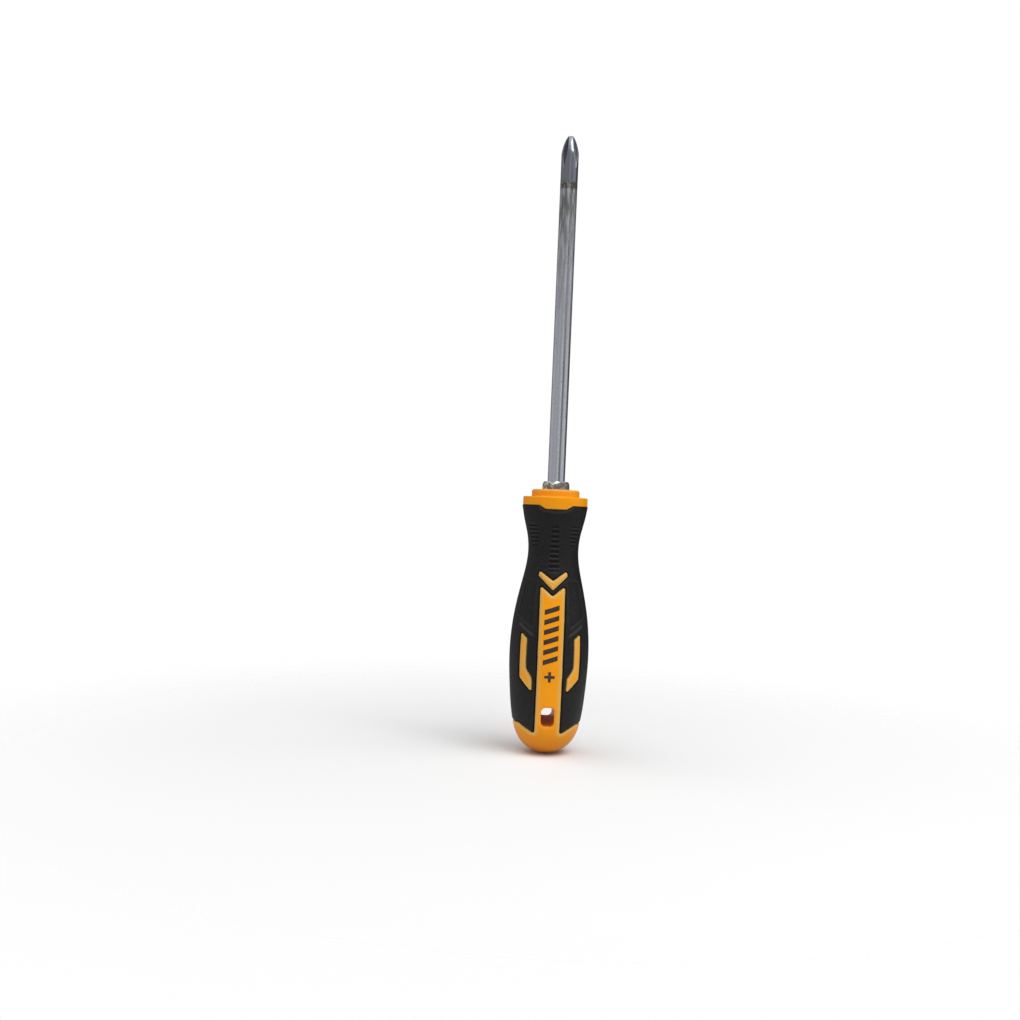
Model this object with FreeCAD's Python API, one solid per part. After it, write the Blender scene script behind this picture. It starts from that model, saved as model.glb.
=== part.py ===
"""A cross-tip screwdriver with a hard and soft moulded handle. All sizes are in millimetres.

Z runs along the tool, from the lowest point of the butt to the tip of the blade.
The front strip of the handle faces -Y, and the back strip faces +Y.
"""

import FreeCAD, Part
import math
import os

V = FreeCAD.Vector

# Whole tool
HANDLE_LENGTH = 114.0
BOLSTER_SHOWN = 3.5
BLADE_LENGTH = 150.0
TIP_Z = HANDLE_LENGTH + BOLSTER_SHOWN + BLADE_LENGTH

# Blade: a ground round bar with a cross tip. Its seat and tang are left thicker, so the bolster slides on freely
BAR_R = 3.75
SEAT_R = 3.95
TANG_Z = 38.0
TANG_CHAMFER = 0.8
TIP_TAPER = [(0.0, 1.25), (1.5, 2.05), (3.7, 2.9), (5.8, 3.45), (8.0, 3.75)]
FLUTE_LENGTH = 14.5
WING_AT_END = 1.7
WING_AT_RUNOUT = 2 * BAR_R * math.sin(math.radians(45))
FLUTE_CURVE = 1.8
FLUTE_STATIONS = 7
EAR_HEIGHTS = [52.0, 76.0]
EAR_LENGTH = 10.0
EAR_SPAN = 9.4
EAR_THICK = 2.4
EAR_ROUND = 0.6

# Bolster: a hexagon ring for a wrench, pressed on the bar's seat and sunk into the collar
HEX_FLATS = 11.0
HEX_TURN = 19.0
HEX_SUNK = 3.0
HEX_TOP_CHAMFER = 0.8

# Handle outline: height and radius of the outer surface, from the butt to the collar
OUTLINE = [
    (0.0, 0.0),
    (1.9, 7.0),
    (6.1, 11.7),
    (14.4, 14.8),
    (27.0, 16.4),
    (43.5, 17.2),
    (60.0, 15.9),
    (72.6, 13.4),
    (86.0, 11.0),
    (94.0, 11.5),
    (101.7, 13.3),
    (107.2, 14.3),
]
GRIP_TOP = OUTLINE[-1][0]
GRIP_WALL = 2.2
GRIP_ROOT_Z = 9.0
GRIP_ROOT_R = 12.0
RIM_ROUND = 0.7

# Collar: a flange that the rubber stops against, and a smaller disc round the bolster
FLANGE_R = 13.95
FLANGE_TOP = 110.8
FLANGE_ROUND = 0.5
DISC_R = 10.35
DISC_ROUND = 1.2
TONGUE_TOP = 7.3
TONGUE_BOTTOM = 4.5
TONGUE_Z = 105.5

# Hard islands that stand through windows in the rubber
STRIP_HALF = 5.5
STRIP_CORNER_Z = 73.1
STRIP_NOTCH_Z = 68.8
CHEVRON = [(0.0, 71.0), (6.5, 77.1), (6.0, 79.4), (0.0, 75.2), (-6.0, 79.4), (-6.5, 77.1)]
INLAY_TURN = 40.0
INLAY_OUT = 2.8
INLAY_BAR = -0.95
INLAY_LOBE = -3.9
INLAY_Z = [(53.1, 50.6), (38.2, 34.2), (33.8, 27.9)]
CORNER_ROUND = 0.6

# Butt cap: its edge with the rubber is high at the sides and low beside the strips
CAP_SIDE_Z = 13.9
CAP_LOW_Z = 10.8
CAP_SIDE_X = 12.3
CAP_LOW_X = 6.6
CAP_ROUND = 1.4

# Hanging hole through the butt, front to back
HOLE_WIDTH = 5.9
HOLE_HEIGHT = 8.2
HOLE_Z = 17.7
HOLE_ROUND = 2.0

# Core moulded round the tang before the handle
CORE_R = 6.4
CORE_BOTTOM = 32.0
CORE_TOP = 105.0
CORE_RINGS = 5
CORE_RING_DEPTH = 0.5
CORE_RING_WIDTH = 3.0

FAR = 30.0


def disc(radius, low, high):
    """A cylinder about the tool's axis."""
    return Part.makeCylinder(radius, high - low, V(0, 0, low))


def revolved(edges):
    """The solid that a closed outline in the XZ plane sweeps about the tool's axis."""
    face = Part.Face(Part.Wire(edges))
    return face.revolve(V(0, 0, 0), V(0, 0, 1), 360)


def straight(a, b):
    """A straight edge between two (height, radius) points."""
    return Part.LineSegment(V(a[1], 0, a[0]), V(b[1], 0, b[0])).toShape()


def smooth(points, start=None):
    """A smooth edge through (height, radius) points, which may leave the first one level."""
    curve = Part.BSplineCurve()
    places = [V(r, 0, z) for z, r in points]
    if start:
        end = places[-1] - places[-2]
        curve.interpolate(Points=places, InitialTangent=start, FinalTangent=end)
    else:
        curve.interpolate(Points=places)
    return curve.toShape()


def prism(outline, corner, turn=0.0, both_ways=False):
    """A straight bar with an XZ outline, running from the axis out through the front, then turned about Z."""
    start = FAR if both_ways else 0.0
    points = [V(x, start, z) for x, z in outline]
    face = Part.Face(Part.makePolygon(points + points[:1]))
    bar = face.extrude(V(0, -FAR - start, 0))
    along = [e for e in bar.Edges if abs(e.tangentAt(e.FirstParameter).y) > 0.99]
    bar = bar.makeFillet(corner, along)
    bar.rotate(V(0, 0, 0), V(0, 0, 1), turn)
    return bar


def outer_solid():
    """The handle's full outer form, up to the top of the rubber."""
    first, last = OUTLINE[0], OUTLINE[-1]
    middle = (last[0], 0.0)
    return revolved([smooth(OUTLINE, V(1, 0, 0)), straight(last, middle), straight(middle, first)])


def inner_solid():
    """The hard handle under the rubber: the outer form less the rubber's wall."""
    walls = [(z, r - GRIP_WALL) for z, r in OUTLINE if z > CAP_SIDE_Z]
    root = (GRIP_ROOT_Z, GRIP_ROOT_R)
    low, high = (GRIP_ROOT_Z, 0.0), (GRIP_TOP, 0.0)
    edges = [straight(low, root), smooth([root] + walls), straight(walls[-1], high), straight(high, low)]
    return revolved(edges)


def inlay_outline(side):
    """One L-shaped side inlay, with its foot towards the strip. side is 1 on the right and -1 on the left."""
    top, knee, foot = INLAY_Z
    shape = [
        (INLAY_OUT, top[0]),
        (INLAY_OUT, foot[0]),
        (INLAY_LOBE, foot[1]),
        (INLAY_LOBE, knee[1]),
        (INLAY_BAR, knee[0]),
        (INLAY_BAR, top[1]),
    ]
    return [(side * x, z) for x, z in shape]


def windows():
    """Bars that cut the outer form into hard islands and rubber, for the front and the back."""
    strip = [
        (STRIP_HALF, CAP_LOW_Z - 2),
        (STRIP_HALF, STRIP_CORNER_Z),
        (0.0, STRIP_NOTCH_Z),
        (-STRIP_HALF, STRIP_CORNER_Z),
        (-STRIP_HALF, CAP_LOW_Z - 2),
    ]
    slope = (TONGUE_TOP - TONGUE_BOTTOM) / (GRIP_TOP - TONGUE_Z)
    tongue_high = GRIP_TOP + 1.0
    tongue_wide = TONGUE_TOP + slope
    tongue = [
        (tongue_wide, tongue_high),
        (TONGUE_BOTTOM, TONGUE_Z),
        (-TONGUE_BOTTOM, TONGUE_Z),
        (-tongue_wide, tongue_high),
    ]
    bars = []
    for face_turn in (0.0, 180.0):
        for outline in (strip, CHEVRON, tongue):
            bars.append(prism(outline, CORNER_ROUND, face_turn))
        for side in (1, -1):
            bars.append(prism(inlay_outline(side), CORNER_ROUND, face_turn + side * INLAY_TURN))
    return bars


def cap_bar():
    """The bar that holds the butt cap: all of the outer form below the edge of the rubber."""
    right = [(CAP_LOW_X, CAP_LOW_Z), (CAP_SIDE_X, CAP_SIDE_Z), (FAR, CAP_SIDE_Z), (FAR, -FAR)]
    left = [(-x, z) for x, z in reversed(right)]
    return prism(left + right, CAP_ROUND, both_ways=True)


def collar():
    """The flange and the disc on top of the handle, with rounded top edges."""
    flange = disc(FLANGE_R, GRIP_TOP, FLANGE_TOP)
    flange = flange.makeFillet(FLANGE_ROUND, [e for e in flange.Edges if len(e.Vertexes) == 1])
    top = disc(DISC_R, GRIP_TOP + 1, HANDLE_LENGTH)
    rim = [e for e in top.Edges if len(e.Vertexes) == 1 and e.BoundBox.ZMin > FLANGE_TOP]
    return flange.fuse(top.makeFillet(DISC_ROUND, rim))


def hexagon(low, high):
    """A hexagon bar about the tool's axis, turned as the bolster sits."""
    corner_r = HEX_FLATS / 2 / math.cos(math.radians(30))
    angles = [math.radians(HEX_TURN + 60 * k) for k in range(6)]
    points = [V(corner_r * math.cos(a), corner_r * math.sin(a), low) for a in angles]
    return Part.Face(Part.makePolygon(points + points[:1])).extrude(V(0, 0, high - low))


def hanging_hole():
    """The rounded slot through the butt."""
    w, h = HOLE_WIDTH / 2, HOLE_HEIGHT / 2
    corners = [(w, HOLE_Z + h), (w, HOLE_Z - h), (-w, HOLE_Z - h), (-w, HOLE_Z + h)]
    return prism(corners, HOLE_ROUND, both_ways=True)


def flute(turn):
    """The right-angled groove between two wings of the tip. Its floor curves out to the bar's surface."""
    sections = []
    for k in range(FLUTE_STATIONS):
        part = k / (FLUTE_STATIONS - 1)
        half = (WING_AT_END + (WING_AT_RUNOUT - WING_AT_END) * part**FLUTE_CURVE) / 2
        z = TIP_Z - FLUTE_LENGTH * part
        corners = [(half, half), (2 * BAR_R, half), (2 * BAR_R, 2 * BAR_R), (half, 2 * BAR_R)]
        points = [V(x, y, z) for x, y in corners]
        sections.append(Part.makePolygon(points + points[:1]))
    groove = Part.makeLoft(sections, True)
    groove.rotate(V(0, 0, 0), V(0, 0, 1), turn)
    return groove


def tang_ears():
    """Two pairs of pressed ears, crossed, which keep the tang from turning in its core."""
    ears = []
    for k, z in enumerate(EAR_HEIGHTS):
        ear = Part.makeBox(EAR_SPAN, EAR_THICK, EAR_LENGTH, V(-EAR_SPAN / 2, -EAR_THICK / 2, z))
        ends = [e for e in ear.Edges if abs(e.tangentAt(e.FirstParameter).y) > 0.99]
        ear = ear.makeFillet(EAR_ROUND, ends)
        ear.rotate(V(0, 0, 0), V(0, 0, 1), 90.0 * k)
        ears.append(ear)
    return ears


def blade():
    """The bar with its cross tip and its tang."""
    taper = [(TIP_Z - back, r) for back, r in reversed(TIP_TAPER)]
    foot = (TANG_Z + TANG_CHAMFER, SEAT_R)
    seat_top = HANDLE_LENGTH + BOLSTER_SHOWN
    edges = [
        straight((TANG_Z, 0.0), (TANG_Z, SEAT_R - TANG_CHAMFER)),
        straight((TANG_Z, SEAT_R - TANG_CHAMFER), foot),
        straight(foot, (seat_top, SEAT_R)),
        straight((seat_top, SEAT_R), (seat_top, BAR_R)),
        straight((seat_top, BAR_R), taper[0]),
        smooth(taper),
        straight(taper[-1], (TIP_Z, 0.0)),
        straight((TIP_Z, 0.0), (TANG_Z, 0.0)),
    ]
    bar = revolved(edges)
    for quarter in range(4):
        bar = bar.cut(flute(90.0 * quarter))
    return bar.multiFuse(tang_ears())


def bolster():
    """The hexagon ring, with its upper corners turned off."""
    low, high = HANDLE_LENGTH - HEX_SUNK, HANDLE_LENGTH + BOLSTER_SHOWN
    corner_r = HEX_FLATS / 2 / math.cos(math.radians(30))
    cone_r = HEX_FLATS / 2 + 0.1
    trim = disc(corner_r + 1, low, high - HEX_TOP_CHAMFER)
    top = Part.makeCone(corner_r + 1, cone_r, HEX_TOP_CHAMFER, V(0, 0, high - HEX_TOP_CHAMFER))
    return hexagon(low, high).common(trim.fuse(top)).cut(disc(SEAT_R, low - 1, high + 1))


def inner_core(tang):
    """The plug moulded on the tang, with rings that key it into the handle."""
    core = disc(CORE_R, CORE_BOTTOM, CORE_TOP)
    pitch = (CORE_TOP - CORE_BOTTOM) / (CORE_RINGS + 1)
    for k in range(CORE_RINGS):
        low = CORE_BOTTOM + pitch * (k + 1) - CORE_RING_WIDTH / 2
        groove = disc(CORE_R + 1, low, low + CORE_RING_WIDTH)
        core = core.cut(groove.cut(disc(CORE_R - CORE_RING_DEPTH, low, low + CORE_RING_WIDTH)))
    return core.cut(tang)


def handle_parts(core, tang):
    """The hard handle and the rubber grip, which share one outer form."""
    outer, inner, bars = outer_solid(), inner_solid(), windows()
    cap = cap_bar()
    islands = outer.common(bars[0].multiFuse(bars[1:] + [cap]))
    shell = inner.multiFuse([islands, collar()])
    bore = disc(SEAT_R, CORE_TOP - 1, HANDLE_LENGTH + 1)
    socket = hexagon(HANDLE_LENGTH - HEX_SUNK, HANDLE_LENGTH + 1)
    plug = core.fuse(tang.common(disc(FAR, 0, CORE_TOP)))
    shell = shell.cut(plug.fuse(bore).fuse(socket)).cut(hanging_hole())
    grip = outer.makeFillet(RIM_ROUND, [e for e in outer.Edges if e.BoundBox.ZMin > GRIP_TOP - 0.1])
    for cutter in [inner, cap] + bars:
        grip = grip.cut(cutter)
    return shell.removeSplitter(), grip.removeSplitter()


def main():
    os.makedirs("parts", exist_ok=True)
    tang = blade()
    core = inner_core(tang)
    shell, grip = handle_parts(core, tang)
    nodes = {
        "blade": tang,
        "bolster": bolster(),
        "inner_core": core,
        "handle_shell": shell,
        "rubber_grip": grip,
    }
    for name, shape in nodes.items():
        print(f"{name}: {len(shape.Solids)} solid, valid {shape.isValid()}, {shape.Volume:.0f} mm3")
        shape.exportStep(f"parts/{name}.step")


main()
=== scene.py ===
"""The finished look of a cross-tip screwdriver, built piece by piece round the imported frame.

Shapes are worked out in millimetres and become metres when a mesh is made. Round the handle, a place is
an angle from the front (-Y) towards the right (+X), and a height up the tool from the butt.
"""
import functools
import math

import bmesh
import bpy
import numpy as np
from bpy.props import FloatProperty, FloatVectorProperty, IntProperty, PointerProperty
from mathutils import Matrix, Vector
from mathutils.geometry import delaunay_2d_cdt
from mathutils.kdtree import KDTree


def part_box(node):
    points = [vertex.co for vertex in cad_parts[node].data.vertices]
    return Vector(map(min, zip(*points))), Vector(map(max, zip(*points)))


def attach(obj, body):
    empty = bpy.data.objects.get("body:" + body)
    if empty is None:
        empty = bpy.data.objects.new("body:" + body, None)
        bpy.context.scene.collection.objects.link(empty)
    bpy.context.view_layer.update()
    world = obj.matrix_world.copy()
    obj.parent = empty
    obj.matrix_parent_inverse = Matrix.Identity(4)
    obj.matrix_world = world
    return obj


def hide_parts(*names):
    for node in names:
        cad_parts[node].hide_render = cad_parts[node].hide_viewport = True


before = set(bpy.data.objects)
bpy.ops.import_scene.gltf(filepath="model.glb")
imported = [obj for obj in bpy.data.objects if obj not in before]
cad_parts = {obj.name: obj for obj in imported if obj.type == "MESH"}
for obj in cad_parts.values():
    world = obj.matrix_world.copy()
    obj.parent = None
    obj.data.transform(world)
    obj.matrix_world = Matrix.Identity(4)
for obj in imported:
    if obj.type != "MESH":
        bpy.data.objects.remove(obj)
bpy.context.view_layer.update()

bl_info = {
    "name": "Screwdriver looks",
    "version": (1, 0, 0),
    "blender": (4, 5, 0),
    "location": "View3D > Sidebar > Screwdriver",
    "description": "Builds the blade, bolster, handle, grip, ribs and printed marks of a screwdriver",
    "category": "Object",
}

MM = 0.001
BODY = "root"


def span(node, axis):
    """A node's lowest and highest place along an axis, in millimetres."""
    low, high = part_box(node)
    return low[axis] / MM, high[axis] / MM


# Heights that come from the frame
TANG_Z, TIP_Z = span("blade", 2)
COLLAR_TOP = span("handle_shell", 2)[1]
GRIP_TOP = span("rubber_grip", 2)[1]
HEX_LOW, HEX_HIGH = span("bolster", 2)
CORE_LOW, CORE_HIGH = span("inner_core", 2)
CORE_R = span("inner_core", 0)[1]

# The handle's outline: height and radius, from the butt to the top of the rubber
OUTLINE = [
    (0.0, 0.0),
    (1.9, 7.0),
    (6.1, 11.7),
    (14.4, 14.8),
    (27.0, 16.4),
    (43.5, 17.2),
    (60.0, 15.9),
    (72.6, 13.4),
    (86.0, 11.0),
    (94.0, 11.5),
    (101.7, 13.3),
    (107.2, 14.3),
]
SKIN_GAP = 0.04

# Islands of hard plastic, as (across, height) corners on the face they belong to
STRIP_HALF = 5.5
STRIP_TOP = [(-STRIP_HALF, 73.1), (0.0, 68.8), (STRIP_HALF, 73.1)]
CAP_SIDE = [(14.2, 13.9), (12.3, 13.9), (6.6, 10.8), (STRIP_HALF, 10.8)]
CHEVRON = [(0.0, 71.0), (6.5, 77.1), (6.0, 79.4), (0.0, 75.2), (-6.0, 79.4), (-6.5, 77.1)]
TONGUE = [(7.3, GRIP_TOP), (4.5, 105.5), (-4.5, 105.5), (-7.3, GRIP_TOP)]
INLAY = [(2.8, 53.1), (2.8, 33.8), (-3.9, 27.9), (-3.9, 34.2), (-0.95, 38.2), (-0.95, 50.6)]
INLAY_TURN = math.radians(40)
CORNER_ROUND = 0.7
HOLE_HALF = (2.95, 4.1)
HOLE_Z = 17.7
HOLE_ROUND = 2.0

# Shallow shapes in the rubber
PANEL = [(-3.3, 75.3), (3.3, 75.3), (5.2, 60.0), (-5.2, 54.5)]
PANEL_TURN = math.radians(45)
RIDGE = [(2.2, 56.4), (-4.9, 52.3)]
LIP = [(8.8, 109.0), (7.6, 105.4), (5.6, 104.0), (0.0, 103.3), (-5.6, 104.0), (-7.6, 105.4), (-8.8, 109.0)]

# Rows of ribs on the neck: turn in degrees, first and last height, rib count, first and last width
RIB_ROWS = [
    (0.0, 97.2, 80.1, 9, 3.4, 5.4),
    (49.0, 97.6, 90.9, 5, 7.2, 4.4),
    (-49.0, 97.6, 90.9, 5, 7.2, 4.4),
]
POCKET_MARGIN = 1.4

# A quarter turn, the radius that the handle is unrolled at, and the height where its unrolled part begins
SIDE = math.pi / 2
ROUND_MM = 15.0
FLAT_LOW = 8.0

# Distances in millimetres: far enough from an edge to get no painted sheen or seam shade, the distance that
# gives the disc's rim its painted pale sheen, and a hair
FAR_FROM_EDGE = 9.0
DISC_SHEEN = 1.5
HAIR = 1e-4


def linear(text):
    """An sRGB hex colour as linear red, green and blue."""
    parts = [int(text[k : k + 2], 16) / 255 for k in (1, 3, 5)]
    return [c / 12.92 if c <= 0.04045 else ((c + 0.055) / 1.055) ** 2.4 for c in parts]


def smooth_outline(points, start=(0.0, 1.0), end=None, steps=40):
    """The smooth curve through points, each a (distance along, radius), with the directions at its ends."""
    p = np.array(points)
    gap = np.linalg.norm(np.diff(p, axis=0), axis=1)[:, None]
    count = len(p)
    lines, sums = np.eye(count), np.zeros((count, 2))
    sums[0], sums[-1] = start, end or (p[-1] - p[-2]) / gap[-1]
    for k in range(1, count - 1):
        before, after = gap[k - 1, 0], gap[k, 0]
        lines[k, k - 1 : k + 2] = after, 2 * (before + after), before
        sums[k] = 3 * (after * (p[k] - p[k - 1]) / before + before * (p[k + 1] - p[k]) / after)
    slope = np.linalg.solve(lines, sums)
    t = np.linspace(0, 1, steps, endpoint=False)[:, None]
    parts = []
    for k in range(count - 1):
        rise = 3 * t**2 - 2 * t**3
        parts.append(
            (1 - rise) * p[k]
            + rise * p[k + 1]
            + gap[k] * ((t**3 - 2 * t**2 + t) * slope[k] + (t**3 - t**2) * slope[k + 1])
        )
    return np.concatenate(parts + [p[-1:]])


OUTLINE_CURVE = smooth_outline(OUTLINE)


def radius_at(z):
    """The handle's outer radius at a height."""
    return np.interp(z, OUTLINE_CURVE[:, 0], OUTLINE_CURVE[:, 1])


def round_place(angle, z, r):
    """Points at an angle from the front, a height and a radius."""
    return np.column_stack([r * np.sin(angle), -r * np.cos(angle), z * np.ones_like(angle)])


def rounded(corners, radius, closed=True, step=0.35):
    """A path through the corners with each one rounded off and no stretch longer than step."""
    count = len(corners)
    path = []
    for k, corner in enumerate(corners):
        here = np.array(corner)
        if not closed and k in (0, count - 1):
            path.append(here)
            continue
        back, ahead = (np.array(corners[(k + j) % count]) - here for j in (-1, 1))
        a, b = np.linalg.norm(back), np.linalg.norm(ahead)
        half = math.acos(np.clip(back @ ahead / a / b, -1, 1)) / 2
        reach = min(radius / math.tan(half), 0.45 * a, 0.45 * b)
        inner = reach * math.tan(half)
        start, end = here + back / a * reach, here + ahead / b * reach
        centre = here + (back / a + ahead / b) / 2 / math.cos(half) * reach / math.cos(half)
        turns = max(3, int((math.pi - 2 * half) * inner / (step * 0.5)))
        for t in np.linspace(0, 1, turns):
            spoke = (1 - t) * (start - centre) + t * (end - centre)
            path.append(centre + spoke * inner / np.linalg.norm(spoke))
    if closed:
        path.append(path[0])
    full = [path[0]]
    for a, b in zip(path, path[1:]):
        pieces = max(1, math.ceil(np.linalg.norm(b - a) / step))
        full += [a + (b - a) * (j + 1) / pieces for j in range(pieces)]
    return np.array(full[:-1] if closed else full)


def unrolled(path, turn):
    """A path on a face, given as (across, height), laid out as (way round, height)."""
    angle = turn + np.arcsin(np.clip(path[:, 0] / radius_at(path[:, 1]), -1, 1))
    return np.column_stack([angle * ROUND_MM, path[:, 1]])


def signed_distance(x, z, outline):
    """The distance of each point from a closed outline, negative inside."""
    best, inside = np.full(len(x), 1e9), np.zeros(len(x), bool)
    for (ax, az), (bx, bz) in zip(outline, np.roll(outline, -1, axis=0)):
        ex, ez = bx - ax, bz - az
        t = np.clip(((x - ax) * ex + (z - az) * ez) / max(ex * ex + ez * ez, 1e-12), 0, 1)
        best = np.minimum(best, np.hypot(x - ax - t * ex, z - az - t * ez))
        if az != bz:
            inside ^= ((az > z) != (bz > z)) & (x < ax + ex * (z - az) / ez)
    return np.where(inside, -best, best)


def ease(value):
    """A smooth step from 0 to 1."""
    t = np.clip(value, 0, 1)
    return t * t * (3 - 2 * t)


def hump(distance, width):
    """A rounded hump, 1 where the distance is 0 and nearly gone at twice the width."""
    return np.exp(-((distance / width) ** 2))


def hole_outline():
    """The hanging hole on the face, an upright oblong with round corners."""
    w, h = HOLE_HALF
    corners = [(w, HOLE_Z - h), (w, HOLE_Z + h), (-w, HOLE_Z + h), (-w, HOLE_Z - h)]
    return rounded(corners, HOLE_ROUND)


def face_edge(turn):
    """The edge between cap, strip and rubber over half of the handle, from one side to the other."""
    right = CAP_SIDE + [STRIP_TOP[2]]
    left = [(-x, z) for x, z in right]
    middle = unrolled(rounded(left + [STRIP_TOP[1]] + right[::-1], CORNER_ROUND, closed=False), turn)
    z = CAP_SIDE[0][1]
    lead = np.linspace((turn - SIDE) * ROUND_MM, middle[0, 0], 10)[:-1]
    tail = np.linspace(middle[-1, 0], (turn + SIDE) * ROUND_MM, 10)[1:]
    ends = [np.column_stack([s, np.full(len(s), z)]) for s in (lead, tail)]
    return np.concatenate([ends[0], middle, ends[1]])


def handle_paths():
    """Every edge on the unrolled handle: the long cap edge, islands, tongues and the hole's two ends."""
    faces = (0.0, math.pi)
    cap = np.concatenate([face_edge(0.0), face_edge(math.pi)[1:]])
    islands = [unrolled(rounded(CHEVRON, CORNER_ROUND), turn) for turn in faces]
    mirrored = [(-x, z) for x, z in INLAY]
    for turn in faces:
        islands.append(unrolled(rounded(INLAY, CORNER_ROUND), turn + INLAY_TURN))
        islands.append(unrolled(rounded(mirrored, CORNER_ROUND), turn - INLAY_TURN))
    tongues = [unrolled(rounded(TONGUE, CORNER_ROUND, closed=False), turn) for turn in faces]
    holes = [unrolled(hole_outline(), turn) for turn in faces]
    return cap, islands, tongues, holes


def lifted(points, drop=0.0):
    """Unrolled points back on the handle's outer form, or a little inside it."""
    z = points[:, 1]
    return round_place(points[:, 0] / ROUND_MM, z, radius_at(z) - drop)


def nearest(tree, places):
    """Each place's distance from the nearest point in the tree."""
    return np.array([tree.find(p)[2] for p in places])


def tree_of(paths, step=0.1):
    """A search tree over closely spaced points along unrolled paths, on the handle's outer form."""
    dense = []
    for path in paths:
        for a, b in zip(path, path[1:]):
            pieces = max(1, math.ceil(np.linalg.norm(b - a) / step))
            dense.append(a + (b - a) * (np.arange(pieces + 1) / pieces)[:, None])
    places = lifted(np.concatenate(dense))
    tree = KDTree(len(places))
    for k, place in enumerate(places):
        tree.insert(place, k)
    tree.balance()
    return tree


def closed_path(path):
    """The path with its first point again at its end."""
    return np.concatenate([path, path[:1]])


def hex_grid(step):
    """Evenly spaced points over the unrolled handle."""
    low, high = (-SIDE * ROUND_MM, FLAT_LOW), (3 * SIDE * ROUND_MM, GRIP_TOP)
    rows = np.arange(low[1] + step / 2, high[1] - step / 4, step * 0.866)
    across = np.arange(low[0] + step / 2, high[0] - step / 4, step)
    s, z = np.meshgrid(across, rows)
    s[1::2] += step / 2
    grid = np.column_stack([s.ravel(), z.ravel()])
    return grid[grid[:, 0] < high[0] - step / 4]


def triangulate(paths, grid):
    """Triangles over the unrolled handle that keep to every path, closed where it ends at its start."""
    points, edges = [], []
    for path in paths:
        first = len(points)
        points += [Vector(p) for p in path]
        edges += [(first + k, first + k + 1) for k in range(len(path) - 1)]
    points += [Vector(p) for p in grid]
    places, _, faces, *_ = delaunay_2d_cdt(points, edges, [], 0, 1e-5)
    return np.array([p[:] for p in places]), np.array(faces)


def region_of(places, faces, areas):
    """0 where a triangle is rubber, 1 where it is hard plastic and 2 where it is the hole."""
    middle = places[faces].mean(axis=1)
    kind = np.zeros(len(faces), int)
    for area, value in areas:
        near = np.all((middle > area.min(axis=0)) & (middle < area.max(axis=0)), axis=1)
        hit = np.flatnonzero(near)
        kind[hit[signed_distance(*middle[hit].T, area) < 0]] = value
    return kind


@functools.lru_cache(maxsize=1)
def handle_layout():
    """The unrolled handle cut into triangles twice, finely for what shows and coarsely for what doesn't."""
    cap, islands, tongues, holes = handle_paths()
    low, high = -SIDE * ROUND_MM, 3 * SIDE * ROUND_MM
    around, up = np.linspace(low, high, 241), np.linspace(FLAT_LOW, GRIP_TOP, 181)
    frame_paths = [
        np.column_stack([around, np.full(len(around), FLAT_LOW)]),
        np.column_stack([around, np.full(len(around), GRIP_TOP)]),
        np.column_stack([np.full(len(up), low), up]),
        np.column_stack([np.full(len(up), high), up]),
    ]
    closed = [closed_path(p) for p in islands + holes]
    paths = [cap] + closed + tongues
    edge_tree = tree_of([cap] + [closed_path(p) for p in islands] + tongues)
    hole_tree = tree_of([closed_path(p) for p in holes])
    relief = []
    for face in (0.0, math.pi):
        for side in (1, -1):
            turn = face + side * PANEL_TURN
            panel = rounded([(side * x, z) for x, z in PANEL], 1.0)
            ridge = rounded([(side * x, z) for x, z in RIDGE], 1.0, closed=False)
            relief += [closed_path(unrolled(panel, turn)), unrolled(ridge, turn)]
        relief.append(unrolled(rounded(LIP[1:-1], 2.0, closed=False), face))
    all_tree = tree_of(paths + [frame_paths[1]])
    relief_tree = tree_of(relief)
    plain, fine = hex_grid(0.6), hex_grid(0.27)
    plain_gap = nearest(all_tree, lifted(plain))
    fine_gap, relief_gap = nearest(all_tree, lifted(fine)), nearest(relief_tree, lifted(fine))
    wanted = (fine_gap > 0.13) & ((fine_gap < 1.2) | (relief_gap < 0.8))
    busy = (plain_gap < 1.2) | (nearest(relief_tree, lifted(plain)) < 0.8)
    fine_points = np.concatenate([plain[~busy], fine[wanted]])
    coarse = hex_grid(3.0)
    coarse = coarse[nearest(all_tree, lifted(coarse)) > 0.8]
    bottom = np.array([(high, FLAT_LOW - 1), (low, FLAT_LOW - 1)])
    areas = [(np.concatenate([cap, bottom]), 1)]
    areas += [(p, 1) for p in islands + tongues] + [(p, 2) for p in holes]
    layouts = []
    for grid in (fine_points, coarse):
        places, faces = triangulate(paths + frame_paths, grid)
        layouts.append((places, faces, region_of(places, faces, areas)))
    return layouts, edge_tree, hole_tree


# The collar and what it holds
GRIP_WALL = 2.2
FLANGE_R = 13.95
FLANGE_TOP = 110.8
FLANGE_ROUND = 0.55
DISC_R = 10.35
DISC_FILLET = 0.4
DISC_ROUND = 1.1
HEX_FLATS = 11.0
HEX_TURN = math.radians(19)
HEX_PLAY = 0.05
SEAT_R = 3.95

# The bar and its cross tip, as distance from the tip and radius
BAR_R = 3.75
TIP_TAPER = [(0.0, 1.25), (1.5, 2.05), (3.7, 2.9), (5.8, 3.45), (8.0, BAR_R)]
WING_AT_END = 1.7
FLUTE_CURVE = 1.8
FLUTE_ROOT = 0.35
EAR_HEIGHTS = [52.0, 76.0]
EAR_LENGTH = 10.0
EAR_SPAN = 9.4
EAR_THICK = 2.4
FLUTE_SLICES = 59
BAR_SLICES = 12
BAR_START = 20.0
SEAT_DROP = 0.3
TIP_BREAK = 0.12
TANG_CHAMFER = 0.8

# The camera: how far across and up in millimetres, its roll in degrees, and its lens
CAMERA_ACROSS = -19.53
CAMERA_UP = 104.4
CAMERA_ROLL = 2.45
LENS = 38.99

# The printed mark: the bars' first and last height and slant, and the cross's height, length and thickness
MARK_SPAN = (63.0, 42.0)
MARK_SLANT = 0.35
CROSS_Z = 35.0
CROSS_SIZE = (4.4, 1.2)

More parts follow.
